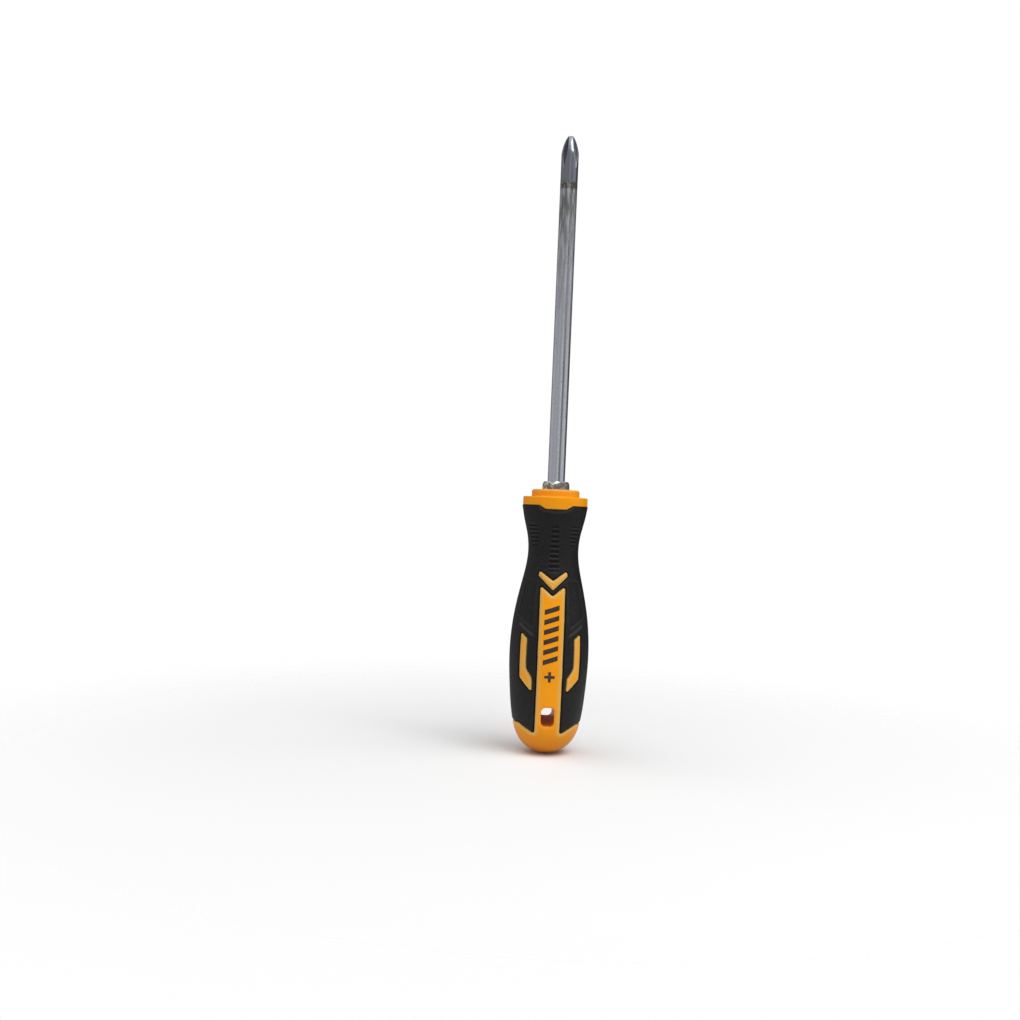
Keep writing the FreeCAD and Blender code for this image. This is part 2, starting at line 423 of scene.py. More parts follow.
# How deep the ribs and the ink reach into what they lie on
RIB_DEPTH = 0.4
INK_DEPTH = 0.15


def size(name, text, mm):
    """A length setting with its default in millimetres."""
    return FloatProperty(name=name, description=text, default=mm * MM, min=0.0, precision=5, unit="LENGTH")


def share(name, text, value):
    """A setting from 0 to 1."""
    return FloatProperty(name=name, description=text, default=value, min=0.0, max=1.0, subtype="FACTOR")


def colour(name, text, value):
    """A colour setting with its default as an sRGB hex value."""
    return FloatVectorProperty(
        name=name, description=text, default=linear(value), min=0.0, max=1.0, size=3, subtype="COLOR"
    )


def amount(name, text, value, unit="NONE"):
    """A setting from 0 up that isn't a length."""
    return FloatProperty(name=name, description=text, default=value, min=0.0, unit=unit)


class ScrewdriverBladeLook(bpy.types.PropertyGroup):
    """Sizes and colours of the bar"""

    flute_length: size("Flute length", "How far the four flutes run down from the tip", 14.5)
    satin_length: size("Satin length", "Length of the bare end that is duller than the plated bar", 20.5)
    stain_length: size("Stain length", "How far from the tip the oily brown stain reaches", 100.0)
    plate: colour("Plating", "Colour of the plated bar", "#CDD1DA")
    satin: colour("Satin end", "Colour of the bare end", "#878B96")
    stain: colour("Stain", "Colour of the dried oil and rust", "#403B30")
    roughness: share("Roughness", "Roughness of the plated bar", 0.08)


class ScrewdriverBolsterLook(bpy.types.PropertyGroup):
    """Sizes and colour of the hexagon ring"""

    top_land: size("Top land", "Radius of the flat top before its turned corners", 5.25)
    corner_flat: size("Corner flat", "How much is taken off each corner", 0.12)
    corner_slope: amount("Corner slope", "Drop of the turned corners per width", 1.6)
    steel: colour("Steel", "Colour of the plated steel", "#D0D1D2")
    roughness: share("Roughness", "Roughness of the turned steel", 0.3)


class ScrewdriverShellLook(bpy.types.PropertyGroup):
    """Sizes and colours of the hard moulding"""

    bevel_width: size("Bevel width", "Width of the sloping edge of each hard island", 1.0)
    bevel_drop: size("Bevel drop", "How far that edge sinks to the rubber", 0.4)
    hole_roll: size("Hole roll", "Width of the rounded edge of the hanging hole", 1.2)
    hole_drop: size("Hole drop", "How far that edge turns in", 0.75)
    plastic: colour("Plastic", "Colour of the hard plastic", "#FCA003")
    core: colour("Core", "Colour of the dark core inside the handle", "#26262A")
    roughness: share("Roughness", "Roughness of the hard plastic", 0.38)


class ScrewdriverGripLook(bpy.types.PropertyGroup):
    """Sizes and colours of the soft rubber"""

    edge_roll: size("Edge roll", "Rounding of the rubber beside the hard plastic", 0.5)
    groove_width: size("Groove width", "Width of the gap in the rubber round the hard plastic", 0.3)
    groove_depth: size("Groove depth", "Depth of that gap", 0.7)
    rim_roll: size("Rim roll", "Rounding of the rubber's top rim", 0.5)
    panel_depth: size("Panel depth", "How far the finger panels are sunk", 0.38)
    ridge_rise: size("Ridge rise", "Height of the slanted ridge under each panel", 0.3)
    lip_rise: size("Lip rise", "Height of the raised lip under each tongue of the collar", 0.3)
    pocket_depth: size("Pocket depth", "Depth of the fields that the neck's ribs stand in", 0.5)
    rubber: colour("Rubber", "Colour of the rubber", "#131314")
    dust: colour("Dust", "Colour of skin dust in the rubber's grain", "#5A5854")
    roughness: share("Roughness", "Roughness of the rubber", 0.52)


class ScrewdriverRibLook(bpy.types.PropertyGroup):
    """Sizes of the ribs on the neck"""

    height: size("Rib height", "Height of one rib, along the tool", 1.15)
    rise: size("Rib rise", "How far a rib stands out of its field", 0.52)


class ScrewdriverMarkLook(bpy.types.PropertyGroup):
    """Sizes and colour of the plain printed mark"""

    bars: IntProperty(name="Bars", description="Number of slanted bars", default=6, min=1, max=12)
    height: size("Bar height", "Height of one bar, along the tool", 2.1)
    width: size("Bar width", "Width of one bar, across the strip", 6.2)
    thickness: size("Ink thickness", "Thickness of the ink", 0.03)
    ink: colour("Ink", "Colour of the ink", "#2C211C")


class ScrewdriverStageLook(bpy.types.PropertyGroup):
    """Light and floor"""

    distance: size("Camera distance", "How far the camera stands from the tool's axis", 480.0)
    floor: size("Floor radius", "Radius of the floor", 330.0)
    overhead: amount("Overhead", "Extra light from straight above", 2.8)
    ambient: amount("Room light", "Strength of the room's light", 1.0)
    key: amount("Key light", "Power of the large lamp", 2.6, "POWER")


def arc_rings(centre, radius, start, end, steps=6):
    """Rings that follow a round edge, given its centre as (radius, height) and its angles in degrees."""
    turns = np.radians(np.linspace(start, end, steps))
    return [(centre[0] + radius * math.cos(t), centre[1] + radius * math.sin(t)) for t in turns]


def hex_radius(angle):
    """The radius of the bolster's hexagon at an angle from the front."""
    beyond = (angle - SIDE - HEX_TURN) % math.radians(60) - math.radians(30)
    return HEX_FLATS / 2 / np.cos(beyond)


def mesh_piece(name, vertices, faces, notes=None, finish=None, sharp=32):
    """A smooth-shaded object from points in millimetres. notes are numbers to keep on its points, by name."""
    mesh = bpy.data.meshes.new(name)
    mesh.from_pydata((np.asarray(vertices) * MM).tolist(), [], [list(f) for f in faces])
    for key, values in (notes or {}).items():
        mesh.attributes.new(key, "FLOAT", "POINT").data.foreach_set("value", np.asarray(values, np.float32))
    built = bmesh.new()
    built.from_mesh(mesh)
    bmesh.ops.delete(built, geom=[v for v in built.verts if not v.link_faces], context="VERTS")
    bmesh.ops.remove_doubles(built, verts=built.verts, dist=1e-6)
    if finish:
        finish(built)
        bmesh.ops.remove_doubles(built, verts=built.verts, dist=1e-6)
    bmesh.ops.dissolve_degenerate(built, edges=built.edges, dist=1e-7)
    bmesh.ops.recalc_face_normals(built, faces=built.faces)
    if any(e.is_boundary for e in built.edges):
        raise RuntimeError(f"{name} isn't closed")
    built.to_mesh(mesh)
    built.free()
    mesh.shade_smooth()
    mesh.set_sharp_from_angle(angle=math.radians(sharp))
    made = bpy.data.objects.new(name, mesh)
    bpy.context.scene.collection.objects.link(made)
    return made


def finish_piece(piece, material, slot, *nodes):
    """Gives a piece its material and ties it to the frame."""
    piece.data.materials.clear()
    piece.data.materials.append(material)
    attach(piece, BODY)
    if nodes:
        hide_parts(*nodes)


def skinned(rings, closed=False):
    """Points and faces over rings of the same number of points, with flat ends or joined end to end."""
    count, around = len(rings), len(rings[0])
    faces = []
    for k in range(count if closed else count - 1):
        a, b = k * around, (k + 1) % count * around
        faces += [(a + j, a + (j + 1) % around, b + (j + 1) % around, b + j) for j in range(around)]
    if not closed:
        faces += [range(around), range((count - 1) * around, count * around)]
    return np.concatenate(rings), faces


# Blade and bolster


def section(radius, half):
    """One slice of the bar: four wings, each half a width either side, with the flutes' rounded roots."""
    half = min(half, radius * math.sin(math.radians(45)))
    wing = math.asin(half / radius)
    arc = np.linspace(-wing, wing, 17)
    root = min(FLUTE_ROOT, 0.4 * (radius * math.cos(wing) - half))
    turn = np.radians([270, 240, 210, 180])
    wing_edge = radius * np.column_stack([np.cos(arc), np.sin(arc)])
    flute = half + root + root * np.column_stack([np.cos(turn), np.sin(turn)])
    x, y = np.concatenate([wing_edge, flute]).T
    quarters = [(x, y), (-y, x), (-x, -y), (y, -x)]
    return np.concatenate([np.column_stack(q) for q in quarters])


def eared(slice_, axis):
    """A slice of the tang with an ear pressed out either side along an axis."""
    out = slice_.copy()
    on_ear = np.abs(slice_[:, 1 - axis]) < EAR_THICK / 2
    out[on_ear, axis] = np.sign(slice_[on_ear, axis]) * EAR_SPAN / 2
    return out


def blade_piece(look):
    """The bar from its cross tip down to the tang."""
    taper = smooth_outline(TIP_TAPER, start=(1.0, 0.6), end=(1.0, 0.0))
    flute_length = look.flute_length / MM
    wide = 2 * BAR_R * math.sin(math.radians(45))
    slices = []
    for away in np.linspace(0, flute_length, FLUTE_SLICES):
        radius = np.interp(away, taper[:, 0], taper[:, 1])
        half = (WING_AT_END + (wide - WING_AT_END) * (away / flute_length) ** FLUTE_CURVE) / 2
        slices.append((TIP_Z - away - (TIP_BREAK if away == 0 else 0), section(radius, half)))
    end = section(TIP_TAPER[0][1] - TIP_BREAK, WING_AT_END / 2 - 0.1)
    round_bar, seat = section(BAR_R, BAR_R), section(SEAT_R, SEAT_R)
    slices = [(TIP_Z, end)] + slices
    seat_top = HEX_HIGH - SEAT_DROP
    slices += [(z, round_bar) for z in np.linspace(TIP_Z - BAR_START, seat_top, BAR_SLICES)]
    slices.append((seat_top, seat))
    for axis in (1, 0):
        low, high = EAR_HEIGHTS[axis], EAR_HEIGHTS[axis] + EAR_LENGTH
        slices += [(high, seat), (high, eared(seat, axis)), (low, eared(seat, axis)), (low, seat)]
    slices += [(TANG_Z + TANG_CHAMFER, seat), (TANG_Z, section(SEAT_R - TANG_CHAMFER, SEAT_R))]
    rings = [np.column_stack([s, np.full(len(s), z)]) for z, s in slices]
    depth = [np.linalg.norm(s[8]) - np.linalg.norm(s, axis=1) for _, s in slices]
    return mesh_piece("blade_bar", *skinned(rings), {"depth_mm": np.concatenate(depth)}, sharp=26)


def bolster_piece(look):
    """The hexagon ring with its top corners turned off."""
    angle = np.radians(np.arange(0, 360, 2.5)) + SIDE + HEX_TURN
    land = look.top_land / MM
    corner = HEX_FLATS / 2 / math.cos(math.radians(30))
    flats = np.minimum(hex_radius(angle), corner - look.corner_flat / MM)
    turned = HEX_HIGH - np.maximum(flats - land, 0) * look.corner_slope
    # The top's edges are broken by a few hundredths, and the foot and the bore by about 0.2
    rings = [
        round_place(angle, HEX_LOW, SEAT_R),
        round_place(angle, HEX_LOW, flats - 0.2),
        round_place(angle, HEX_LOW + 0.2, flats),
        round_place(angle, turned - 0.04, flats),
        round_place(angle, np.minimum(turned, HEX_HIGH - 0.03), flats - 0.04),
        round_place(angle, HEX_HIGH, np.minimum(flats - 0.07, land)),
        round_place(angle, HEX_HIGH, SEAT_R + 0.25),
        round_place(angle, HEX_HIGH - 0.25, SEAT_R),
    ]
    return mesh_piece("bolster_ring", *skinned(rings, closed=True), sharp=26)


# The two mouldings of the handle


def edge_kinds(faces, kind):
    """Which regions meet at each edge of the layout."""
    found = {}
    for face, value in zip(faces.tolist(), kind.tolist()):
        for k in range(3):
            edge = tuple(sorted((face[k], face[k - 1])))
            found.setdefault(edge, []).append(value)
    return found


def walls(fine, coarse, shift, wanted):
    """Quads from the fine outer edges down to the same edges of the coarse inner surface."""
    inner = {tuple(np.round(p, 3)): k + shift for k, p in enumerate(coarse[0])}
    places = fine[0]
    quads = []
    for (a, b), kinds in edge_kinds(fine[1], fine[2]).items():
        if wanted(kinds, places[a], places[b]):
            below = [inner[tuple(np.round(places[k], 3))] for k in (b, a)]
            quads.append((a, b, *below))
    return quads


def across_face(places, turn):
    """How far across a face the points lie, with those on the far side moved well away."""
    angle = places[:, 0] / ROUND_MM - turn
    return np.where(np.cos(angle) > 0, radius_at(places[:, 1]) * np.sin(angle), 1e3)


def pocket_outline(row):
    """The sunk field that a row of ribs stands in."""
    _, top, bottom, _, first, last = row
    up, down = top + POCKET_MARGIN, bottom - POCKET_MARGIN
    a, b = first / 2 - 0.2, last / 2 - 0.2
    return rounded([(-a, up), (a, up), (b, down), (-b, down)], 0.8)


def rubber_relief(places, gap, look):
    """How far the rubber stands out, and how much wear makes it paler, or, below 0, how much painted shade
    darkens it.
    """
    z = places[:, 1]
    height, rubbed = np.full(len(z), -0.06), np.zeros(len(z))
    for face in (0.0, math.pi):
        for side in (1, -1):
            x = side * across_face(places, face + side * PANEL_TURN)
            inside = signed_distance(x, z, rounded(PANEL, 1.0))
            sunk = ease(-inside / 0.7)
            (ax, az), (bx, bz) = RIDGE
            t = np.clip(((x - ax) * (bx - ax) + (z - az) * (bz - az)) / math.dist(*RIDGE) ** 2, 0, 1)
            off = np.hypot(x - ax - t * (bx - ax), z - az - t * (bz - az))
            height += (look.ridge_rise * hump(off, 0.55) - look.panel_depth * sunk) / MM
            rubbed += hump(off, 0.5) + 0.25 * hump(inside - 0.15, 0.35)
        x = across_face(places, face)
        inside = signed_distance(x, z, rounded(LIP, 2.0))
        height += look.lip_rise / MM * ease(-inside)
        rubbed += 0.6 * hump(inside + 0.9, 0.5)
        for row in RIB_ROWS:
            x = across_face(places, face + math.radians(row[0]))
            sunk = ease(-signed_distance(x, z, pocket_outline(row)) / 0.5)
            height -= look.pocket_depth / MM * sunk
            # The sunk field is darkened as painted shade
            rubbed -= sunk
    groove = look.groove_width / MM
    in_groove = ease((groove + 0.15 - gap) / 0.3)
    height -= look.groove_depth / MM * in_groove
    # The groove beside the hard plastic is darkened as painted shade
    rubbed -= in_groove
    for away, roll in ((gap - groove, look.edge_roll / MM), (GRIP_TOP - z, look.rim_roll / MM)):
        near = np.clip(1 - np.where(away < 0.01, 0, away) / roll, 0, 1)
        height -= roll * (1 - np.sqrt(1 - near**2))
    return height, rubbed


def grip_piece(look):
    """The soft rubber: a closed skin with windows, rolled edges, panels, ridges and rib pockets."""
    (fine, coarse), edge_tree, _ = handle_layout()
    places = fine[0]
    gap = nearest(edge_tree, lifted(places))
    height, rubbed = rubber_relief(places, gap, look)
    outer = lifted(places, -height)
    inner = lifted(coarse[0], GRIP_WALL)

    def wanted(kinds, a, b):
        at_rim = min(a[1], b[1]) > GRIP_TOP - HAIR
        return sorted(kinds) == [0, 1] or (kinds == [0] and at_rim)

    faces = fine[1][fine[2] == 0].tolist()
    faces += (coarse[1][coarse[2] == 0] + len(outer)).tolist()
    faces += walls(fine, coarse, len(outer), wanted)
    # Each point keeps its wear, which makes it paler, or below 0 its painted shade
    notes = {"rubbed": np.concatenate([rubbed, np.zeros(len(inner))])}
    return mesh_piece("grip_skin", np.concatenate([outer, inner]), faces, notes)


def stretch(built, edges, rings, edge_mm=FAR_FROM_EDGE):
    """Carries open edges on through rings, each a (radius, height), keeping every point's angle.

    edge_mm is how far from an edge the new points are said to be, which sets their painted pale sheen.
    """
    edge_note = built.verts.layers.float["edge_mm"]
    for radius, z in rings:
        made = bmesh.ops.extrude_edge_only(built, edges=edges)["geom"]
        for vertex in (g for g in made if isinstance(g, bmesh.types.BMVert)):
            angle = math.atan2(vertex.co.x, -vertex.co.y)
            r = (radius(angle) if callable(radius) else radius) * MM
            vertex.co = (r * math.sin(angle), -r * math.cos(angle), z * MM)
            vertex[edge_note] = edge_mm
        edges = [g for g in made if isinstance(g, bmesh.types.BMEdge) and g.is_boundary]
    return edges


def close_pole(built, edges, z):
    """Fans the last ring in to one point on the axis."""
    made = bmesh.ops.extrude_edge_only(built, edges=edges)["geom"]
    tips = [g for g in made if isinstance(g, bmesh.types.BMVert)]
    bmesh.ops.pointmerge(built, verts=tips, merge_co=(0, 0, z * MM))


def open_edges(built, test):
    """The open edges with both ends at heights that pass a test."""
    return [e for e in built.edges if e.is_boundary and all(test(v.co.z / MM) for v in e.verts)]


def socket_radius(angle):
    """The bolster's socket in the collar."""
    return hex_radius(angle) + HEX_PLAY


def finish_shell(built):
    """Adds the butt dome, the collar with the bolster's socket and the core's cavity, and the hole's wall."""
    butt = open_edges(built, lambda z: abs(z - FLAT_LOW) < 1e-3)
    top = open_edges(built, lambda z: abs(z - GRIP_TOP) < 1e-3)
    hole = open_edges(built, lambda z: FLAT_LOW + 1 < z < GRIP_TOP - 1)
    low = OUTLINE_CURVE[OUTLINE_CURVE[:, 0] < FLAT_LOW - 0.1][::-1]
    dome = [(r - SKIN_GAP * r / low[0, 1], z) for z, r in low[::4] if r > 0.2]
    close_pole(built, stretch(built, butt, dome), 0.0)
    flange = [(FLANGE_R, GRIP_TOP), (FLANGE_R, GRIP_TOP + 0.6)]
    flange += arc_rings((FLANGE_R - FLANGE_ROUND, FLANGE_TOP - FLANGE_ROUND), FLANGE_ROUND, 0, 90)
    flange += arc_rings((DISC_R + DISC_FILLET, FLANGE_TOP + DISC_FILLET), DISC_FILLET, 270, 180, 4)
    disc = arc_rings((DISC_R - DISC_ROUND, COLLAR_TOP - DISC_ROUND), DISC_ROUND, 0, 90)
    socket = [
        (lambda angle: socket_radius(angle) + 0.25, COLLAR_TOP),
        (socket_radius, COLLAR_TOP - 0.2),
        (socket_radius, HEX_LOW),
        (SEAT_R, HEX_LOW),
        (SEAT_R, CORE_HIGH),
        (CORE_R, CORE_HIGH),
        (CORE_R, CORE_LOW),
    ]
    # The disc's rounded rim is tinted a little paler than the flange, a painted sheen
    reached = stretch(built, stretch(built, top, flange), disc, edge_mm=DISC_SHEEN)
    close_pole(built, stretch(built, reached, socket), CORE_LOW)
    made = bmesh.ops.extrude_edge_only(built, edges=hole)["geom"]
    for vertex in (g for g in made if isinstance(g, bmesh.types.BMVert)):
        vertex.co.y = 0


def shell_piece(look):
    """The hard plastic: butt cap, strips, chevrons, inlays, tongues and collar in one closed moulding."""
    (fine, coarse), edge_tree, hole_tree = handle_layout()
    places = fine[0]
    gap, hole_gap = (nearest(tree, lifted(places)) for tree in (edge_tree, hole_tree))
    # The tongues are flush with the collar, so their edges slope less than the islands' do, and they get less
    # of the painted pale sheen
    on_tongue = places[:, 1] > TONGUE[1][1] - 1
    gap += np.where(on_tongue, 0.4, 0.0)
    bevel = look.bevel_drop / MM * np.clip(1 - gap * MM / look.bevel_width, 0, 1)
    rolled = look.hole_drop / MM * np.clip(1 - hole_gap * MM / look.hole_roll, 0, 1) ** 2
    r = radius_at(places[:, 1]) - SKIN_GAP - bevel - rolled
    r = np.where(on_tongue, np.minimum(r, FLANGE_R), r)
    r = np.where(places[:, 1] > GRIP_TOP - HAIR, FLANGE_R, r)
    outer = round_place(places[:, 0] / ROUND_MM, places[:, 1], r)
    inner = lifted(coarse[0], GRIP_WALL)
    faces = fine[1][fine[2] == 1].tolist()
    faces += (coarse[1][coarse[2] == 0] + len(outer)).tolist()
    faces += walls(fine, coarse, len(outer), lambda kinds, a, b: sorted(kinds) == [0, 1])
    edge = np.where(on_tongue, gap + 1.0, gap)
    notes = {"edge_mm": np.concatenate([edge, np.full(len(inner), FAR_FROM_EDGE)])}
    return mesh_piece("hard_shell", np.concatenate([outer, inner]), faces, notes, finish_shell)


# Nodes

MATH = "ShaderNodeMath"
RANGE = "ShaderNodeMapRange"
MIX = "ShaderNodeMix"
VECTOR = "ShaderNodeVectorMath"
SPLIT = "ShaderNodeSeparateXYZ"
NOTE = "ShaderNodeAttribute"
SKIN = "ShaderNodeBsdfPrincipled"
STORE = "GeometryNodeStoreNamedAttribute"


def add(tree, kind, inputs=None, **settings):
    """Adds a node with its settings. Each input, by name or number, takes a value or a node's output."""
    made = tree.nodes.new(kind)
    for key, value in settings.items():
        setattr(made, key, value)
    for key, value in (inputs or {}).items():
        if isinstance(value, bpy.types.NodeSocket):
            tree.links.new(value, made.inputs[key])
        else:
            made.inputs[key].default_value = value
    return made


def set_stops(ramp, stops):
    """Gives a colour ramp its stops, each a place and a grey."""
    line = ramp.color_ramp
    while len(line.elements) < len(stops):
        line.elements.new(0.5)
    for element, (place, grey) in zip(line.elements, stops):
        element.position = place
        element.color = (grey, grey, grey, 1.0)


# A row's rays start well outside the handle and reach past its far side
RAY_START = -50 * MM
RAY_LENGTH = 100 * MM

ROW_NUMBERS = [
    "Turn",
    "First height",
    "Last height",
    "First width",
    "Last width",
    "Bar height",
    "Slant",
    "Rise",
    "Roundness",
    "Depth",
]
ROW_INPUTS = [("Surface", "NodeSocketObject"), ("Material", "NodeSocketMaterial"), ("Count", "NodeSocketInt")]
ROW_INPUTS += [(name, "NodeSocketFloat") for name in ROW_NUMBERS]


def bar_row_tree():
    """A row of bars that lie on a surface, each laid on it by a ray from outside."""
    tree = bpy.data.node_groups.new("bar_row", "GeometryNodeTree")
    for name, kind in ROW_INPUTS:
        tree.interface.new_socket(name, in_out="INPUT", socket_type=kind)
    tree.interface.new_socket("Bars", in_out="OUTPUT", socket_type="NodeSocketGeometry")
    given = add(tree, "NodeGroupInput").outputs
    read = "GeometryNodeInputNamedAttribute"
    # One point for each bar, which carries its share of the way along the row
    line = add(tree, "GeometryNodeMeshLine", {"Count": given["Count"], "Offset": (0, 0, 0)})
    gaps = add(tree, MATH, {0: given["Count"], 1: 1.0}, operation="SUBTRACT")
    least = add(tree, MATH, {0: gaps.outputs[0], 1: 1.0}, operation="MAXIMUM")
    index = add(tree, "GeometryNodeInputIndex")
    along = add(tree, MATH, {0: index.outputs[0], 1: least.outputs[0]}, operation="DIVIDE")
    points = add(
        tree,
        STORE,
        {"Geometry": line.outputs[0], "Name": "step", "Value": along.outputs[0]},
        data_type="FLOAT",
        domain="POINT",
    )
    # A unit bar whose points remember where they are on it
    unit = {"Size": (1, 1, 1), "Vertices X": 13, "Vertices Y": 2, "Vertices Z": 9}
    bar = add(tree, "GeometryNodeMeshCube", unit)
    place = add(tree, "GeometryNodeInputPosition")
    noted = add(
        tree,
        STORE,
        {"Geometry": bar.outputs["Mesh"], "Name": "local", "Value": place.outputs[0]},
        data_type="FLOAT_VECTOR",
        domain="POINT",
    )
    copies = {"Points": points.outputs[0], "Instance": noted.outputs[0]}
    spread = add(tree, "GeometryNodeInstanceOnPoints", copies)
    whole = add(tree, "GeometryNodeRealizeInstances", {"Geometry": spread.outputs[0]})
    step = add(tree, read, {"Name": "step"}, data_type="FLOAT").outputs["Attribute"]
    local = add(tree, read, {"Name": "local"}, data_type="FLOAT_VECTOR").outputs["Attribute"]
    x, y, z = add(tree, SPLIT, {0: local}).outputs
    # Where each point lies on the face before it meets the surface
    sizes = []
    for name in ("width", "height"):
        ends = {"Value": step, "To Min": given[f"First {name}"], "To Max": given[f"Last {name}"]}
        sizes.append(add(tree, RANGE, ends).outputs[0])
    across = add(tree, MATH, {0: x, 1: sizes[0]}, operation="MULTIPLY").outputs[0]
    up = add(tree, MATH, {0: z, 1: given["Bar height"], 2: sizes[1]}, operation="MULTIPLY_ADD").outputs[0]
    leaned = add(tree, MATH, {0: across, 1: given["Slant"], 2: up}, operation="MULTIPLY_ADD").outputs[0]
    start = add(tree, "ShaderNodeCombineXYZ", {"X": across, "Y": RAY_START, "Z": leaned})
    rotate = "ShaderNodeVectorRotate"
    turned, inward = (
        add(tree, rotate, {"Vector": v, "Angle": given["Turn"]}, rotation_type="Z_AXIS").outputs[0]
        for v in (start.outputs[0], (0.0, 1.0, 0.0))
    )
    surface = add(tree, "GeometryNodeObjectInfo", {"Object": given["Surface"]}, transform_space="RELATIVE")
    aim = {"Source Position": turned, "Ray Direction": inward, "Ray Length": RAY_LENGTH}
    ray = add(tree, "GeometryNodeRaycast", {"Target Geometry": surface.outputs["Geometry"]} | aim)
    # The outer side stands up to a rounded top, and the inner side is sunk
    top = 1.0
    for part in (x, z):
        twice = add(tree, MATH, {0: part, 1: 2.0}, operation="MULTIPLY").outputs[0]
        sharp = add(tree, MATH, {0: twice, 1: 4.0}, operation="POWER").outputs[0]
        eased = add(tree, MATH, {0: sharp, 1: given["Roundness"]}, operation="MULTIPLY").outputs[0]
        left = add(tree, MATH, {0: 1.0, 1: eased}, operation="SUBTRACT").outputs[0]
        top = add(tree, MATH, {0: left, 1: top}, operation="MULTIPLY").outputs[0]
    raised = add(tree, MATH, {0: top, 1: given["Rise"]}, operation="MULTIPLY").outputs[0]
    sunk = add(tree, MATH, {0: given["Depth"], 1: -1.0}, operation="MULTIPLY").outputs[0]
    outside = add(tree, MATH, {0: y, 1: 0.0}, operation="LESS_THAN").outputs[0]
    out = add(tree, RANGE, {"Value": outside, "To Min": sunk, "To Max": raised}).outputs[0]
    back = add(tree, MATH, {0: out, 1: -1.0}, operation="MULTIPLY").outputs[0]
    moved = add(tree, VECTOR, {0: inward, "Scale": back}, operation="SCALE").outputs[0]
    final = add(tree, VECTOR, {0: ray.outputs["Hit Position"], 1: moved}, operation="ADD").outputs[0]
    laid = add(tree, "GeometryNodeSetPosition", {"Geometry": whole.outputs[0], "Position": final})
    # Use rubs the tops a little paler, and what is sunk is darkened as painted shade
    crest_wear_and_shade = add(tree, RANGE, {"Value": outside, "To Min": -1.0, "To Max": top}).outputs[0]
    crest_wear_and_shade = add(tree, MATH, {0: crest_wear_and_shade, 1: 0.35}, operation="MULTIPLY").outputs[0]
    edge_sheen = add(
        tree,
        STORE,
        {"Geometry": laid.outputs[0], "Name": "rubbed", "Value": crest_wear_and_shade},
        data_type="FLOAT",
        domain="POINT",
    )
    plain = add(tree, "GeometryNodeRealizeInstances", {"Geometry": edge_sheen.outputs[0]})
    paint = {"Geometry": plain.outputs[0], "Material": given["Material"]}
    painted = add(tree, "GeometryNodeSetMaterial", paint)
    add(tree, "NodeGroupOutput", {0: painted.outputs[0]})
    return tree


def bar_row_mesh(tree, settings):
    """One row's plain mesh, from the tree with these inputs. Lengths are in metres and angles in radians."""
    holder = bpy.data.objects.new("row", bpy.data.meshes.new("row"))
    bpy.context.scene.collection.objects.link(holder)
    row = holder.modifiers.new("bars", "NODES")
    row.node_group = tree
    for item in tree.interface.items_tree:
        if item.in_out == "INPUT":
            row[item.identifier] = settings[item.name]
    seen = holder.evaluated_get(bpy.context.evaluated_depsgraph_get())
    mesh = bpy.data.meshes.new_from_object(seen)
    bpy.data.objects.remove(holder)
    return mesh


def row_piece(name, rows):
    """One piece from the meshes of several rows."""
    built = bmesh.new()
    for mesh in rows:
        built.from_mesh(mesh)
    whole = bpy.data.meshes.new(name)
    bmesh.ops.remove_doubles(built, verts=built.verts, dist=1e-6)
    bmesh.ops.recalc_face_normals(built, faces=built.faces)
    built.to_mesh(whole)
    built.free()
    for key in ("local", "step"):
        whole.attributes.remove(whole.attributes[key])
    whole.shade_smooth()
    whole.set_sharp_from_angle(angle=math.radians(40))
    made = bpy.data.objects.new(name, whole)
    bpy.context.scene.collection.objects.link(made)
    return made


# Materials


def new_material(name):
    """An empty material whose patterns are laid in the object's own space."""
    material = bpy.data.materials.new(name)
    material.use_nodes = True
    tree = material.node_tree
    tree.nodes.clear()
    return material, tree, add(tree, "ShaderNodeTexCoord").outputs["Object"]


def patches(tree, where, grain_mm, stops, detail=2.0):
    """Grey patches of about a grain's size, given as one length or as three. stops shape their contrast."""
    grain = grain_mm if hasattr(grain_mm, "__len__") else (grain_mm,) * 3
    scale = tuple(1 / (g * MM) for g in grain)
    laid = add(tree, "ShaderNodeMapping", {"Vector": where, "Scale": scale}, vector_type="POINT").outputs[0]
    noise = add(tree, "ShaderNodeTexNoise", {"Vector": laid, "Scale": 1.0, "Detail": detail}).outputs[0]
    ramp = add(tree, "ShaderNodeValToRGB", {0: noise})
    set_stops(ramp, stops)
    return ramp.outputs[0]


